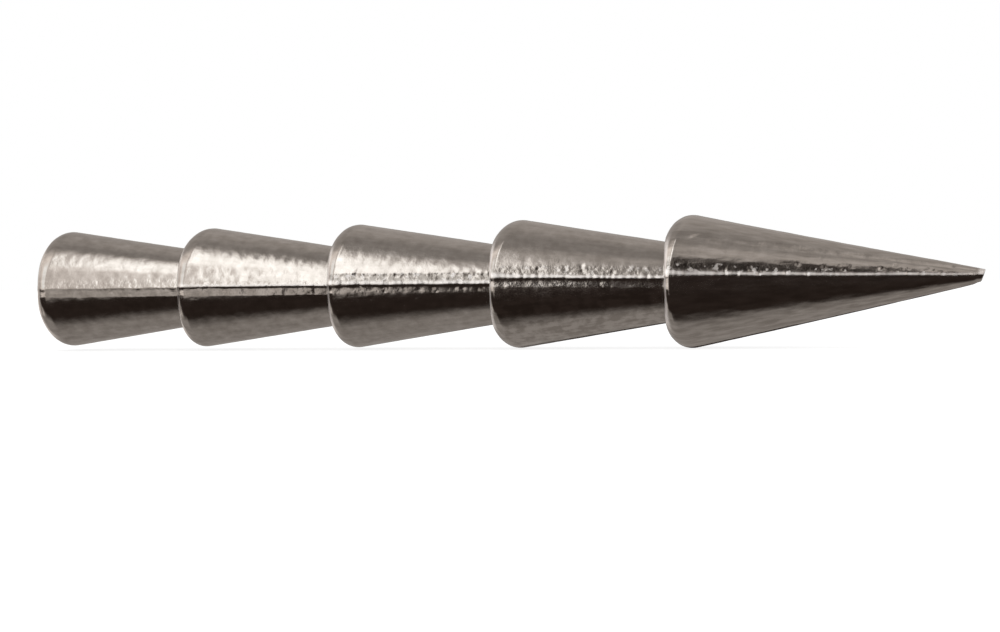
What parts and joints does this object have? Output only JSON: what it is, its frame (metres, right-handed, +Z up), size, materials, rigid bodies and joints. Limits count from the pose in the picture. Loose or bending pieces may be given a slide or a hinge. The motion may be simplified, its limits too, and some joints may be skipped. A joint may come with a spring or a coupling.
{
  "type": "nail sinker",
  "caption": "Solid metal fishing weight: back-barbed cones stacked nose to tail behind a sharp point, pushed into a soft lure to sink it.",
  "frame": {"origin": "centre of the flat tail face", "axes": "+X along the weight's own axis from the tail face to the point, +Z up with the weight lying down, and the two parting-line ridges at the sides, towards -Y and +Y"},
  "size_m": [0.0231, 0.0032, 0.0032],
  "materials": {
    "tungsten_alloy": "polished"
  },
  "bodies": {
    "root": {"tail_cone": "tungsten_alloy", "second_cone": "tungsten_alloy", "third_cone": "tungsten_alloy", "fourth_cone": "tungsten_alloy", "nose_cone": "tungsten_alloy"}
  },
  "joints": []
}
